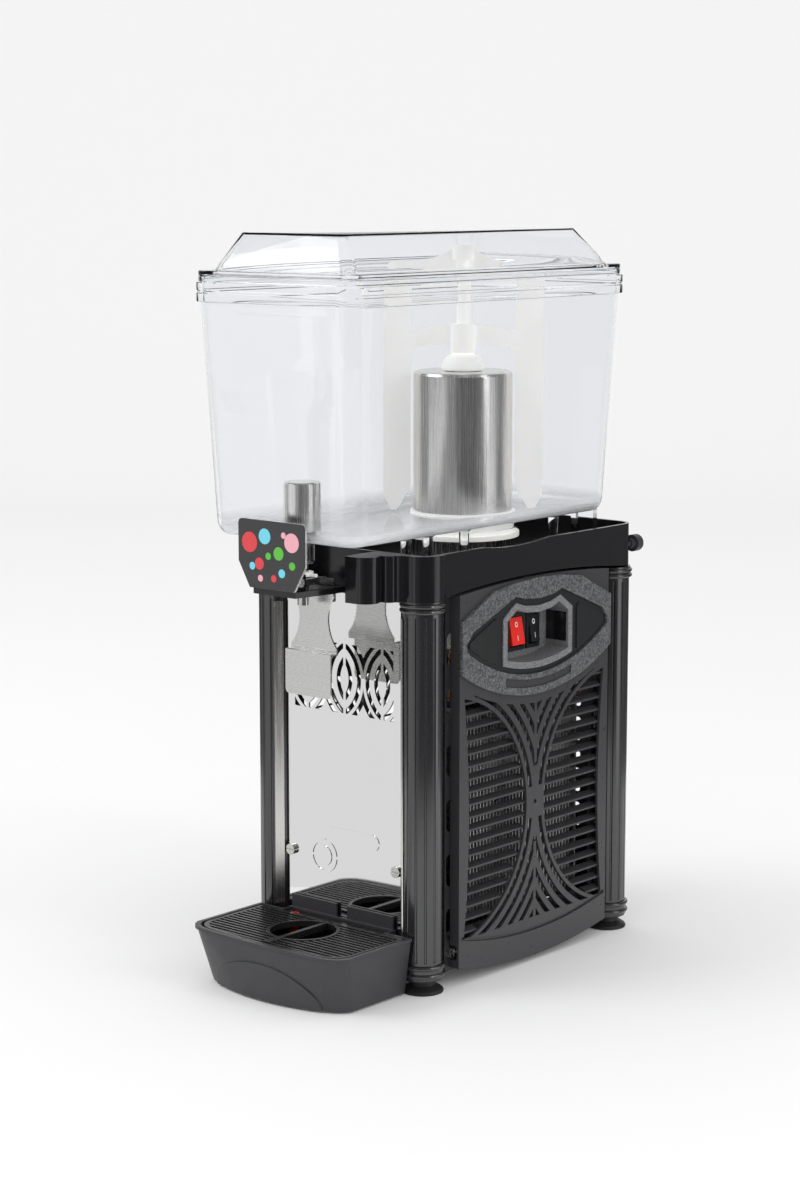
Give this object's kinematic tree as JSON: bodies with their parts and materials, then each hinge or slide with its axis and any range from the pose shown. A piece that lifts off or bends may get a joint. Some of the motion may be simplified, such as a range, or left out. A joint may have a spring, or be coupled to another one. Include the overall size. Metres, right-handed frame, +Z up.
{
  "type": "slushie machine",
  "caption": "Single-bowl counter slush and chilled-drink dispenser: clear bowl over a cooled cylinder with stirrer, push-lever tap, drip tray, grille sides and fluted columns.",
  "frame": {"origin": "on the counter, under the middle of the machine's bounding box", "axes": "+Z up, front of the machine towards -Y, +X to the machine's right when seen from the front"},
  "size_m": [0.205, 0.408, 0.634],
  "materials": {
    "black_gloss": "gloss moulded, black",
    "black_satin": "satin moulded, black",
    "grey_texture": "textured moulded, dark grey",
    "fascia_black": "smooth, black",
    "recess_grey": "smooth, grey",
    "signal_red": "gloss, red",
    "clear_plastic": "clear polycarbonate",
    "white_plastic": "food-grade acetal, white",
    "stainless": "brushed stainless",
    "mirror_steel": "mirror-polished stainless",
    "fastener_steel": "zinc plated",
    "frame_steel": "powder coated, black",
    "rubber": "moulded rubber",
    "aluminium": "mill finish",
    "copper": "copper tube",
    "magnet": "ferrite"
  },
  "bodies": {
    "chassis": {"base_pan": "frame_steel", "front_panel": "mirror_steel", "rear_panel": "frame_steel", "side_frame_left": "frame_steel", "side_frame_right": "frame_steel", "side_grille_left": "black_satin", "side_grille_right": "black_satin", "blank_bezel": "grey_texture", "control_bezel": "grey_texture", "control_fascia": "fascia_black", "control_recess": "recess_grey", "column_front_left": "black_gloss", "column_front_right": "black_gloss", "column_rear_left": "black_gloss", "column_rear_right": "black_gloss", "column_trims": "stainless", "feet": "rubber", "foot_bolts": "fastener_steel", "panel_screws": "fastener_steel", "base_screws": "fastener_steel", "top_basin": "black_gloss", "evaporator": "stainless", "evaporator_coil": "copper", "shaft_tube": "stainless", "centre_pin": "stainless", "bowl_gasket": "white_plastic", "drive_motor": "aluminium", "drain_spout": "stainless", "lever_pin": "stainless", "badge_plate": "black_satin", "power_switch_body": "fascia_black", "stir_switch_body": "fascia_black", "compressor": "frame_steel", "compressor_grommets": "rubber", "condenser": "aluminium", "fan_motor": "aluminium", "fan_shroud": "black_satin", "discharge_pipe": "copper", "suction_pipe": "copper", "liquid_pipe": "copper", "thermostat": "white_plastic", "cable_gland": "black_satin"},
    "drive": {"drive_shaft": "stainless", "drive_magnet": "magnet"},
    "stirrer": {"stirrer": "white_plastic", "stirrer_cup": "white_plastic", "stirrer_magnet": "magnet"},
    "bowl": {"bowl": "clear_plastic"},
    "lid": {"lid": "clear_plastic"},
    "tap": {"tap_piston": "stainless", "tap_seal": "rubber", "tap_collar": "white_plastic"},
    "lever": {"push_lever": "stainless"},
    "tray": {"drip_tray": "black_satin"},
    "grate": {"drip_grate": "black_satin"},
    "float": {"tray_float": "signal_red"},
    "power_button": {"power_rocker": "signal_red"},
    "stir_button": {"stir_rocker": "fascia_black"},
    "fan": {"fan_rotor": "aluminium"},
    "lock": {"lock_screw": "black_satin"}
  },
  "joints": [
    {"name": "bowl_lift", "type": "slide", "parent": "chassis", "child": "bowl", "axis": [0, 0, 1], "range_m": [0, 0.2]},
    {"name": "lid_lift", "type": "slide", "parent": "bowl", "child": "lid", "axis": [0, 0, 1], "range_m": [0, 0.12]},
    {"name": "drive_spin", "type": "hinge", "parent": "chassis", "child": "drive", "pos_m": [0, 0.061, 0.4], "axis": [0, 0, 1], "continuous": true},
    {"name": "stirrer_spin", "type": "hinge", "parent": "bowl", "child": "stirrer", "pos_m": [0, 0.061, 0.52], "axis": [0, 0, 1], "continuous": true},
    {"name": "lever_push", "type": "hinge", "parent": "chassis", "child": "lever", "pos_m": [0, -0.172, 0.352], "axis": [1, 0, 0], "range_deg": [0, 12]},
    {"name": "tap_lift", "type": "slide", "parent": "bowl", "child": "tap", "axis": [0, 0, 1], "range_m": [0, 0.0062]},
    {"name": "tray_slide", "type": "slide", "parent": "chassis", "child": "tray", "axis": [0, -1, 0], "range_m": [0, 0.1]},
    {"name": "grate_lift", "type": "slide", "parent": "tray", "child": "grate", "axis": [0, 0, 1], "range_m": [0, 0.06]},
    {"name": "float_rise", "type": "slide", "parent": "tray", "child": "float", "axis": [0, 0, 1], "range_m": [0, 0.006]},
    {"name": "power_rock", "type": "hinge", "parent": "chassis", "child": "power_button", "pos_m": [0.0765, 0.039, 0.2905], "axis": [0, 1, 0], "range_deg": [0, 20]},
    {"name": "stir_rock", "type": "hinge", "parent": "chassis", "child": "stir_button", "pos_m": [0.0765, 0.063, 0.2905], "axis": [0, 1, 0], "range_deg": [0, 20]},
    {"name": "fan_spin", "type": "hinge", "parent": "chassis", "child": "fan", "pos_m": [0.03, 0.042, 0.136], "axis": [1, 0, 0], "continuous": true},
    {"name": "lock_turn", "type": "hinge", "parent": "chassis", "child": "lock", "pos_m": [0.088, 0.196, 0.352], "axis": [0, 1, 0], "range_deg": [0, 360]}
  ],
  "couplings": [
    {"joint": "stirrer_spin", "follows": "drive_spin", "ratio": 1},
    {"joint": "tap_lift", "follows": "lever_push", "m_per_rad": 0.029}
  ]
}
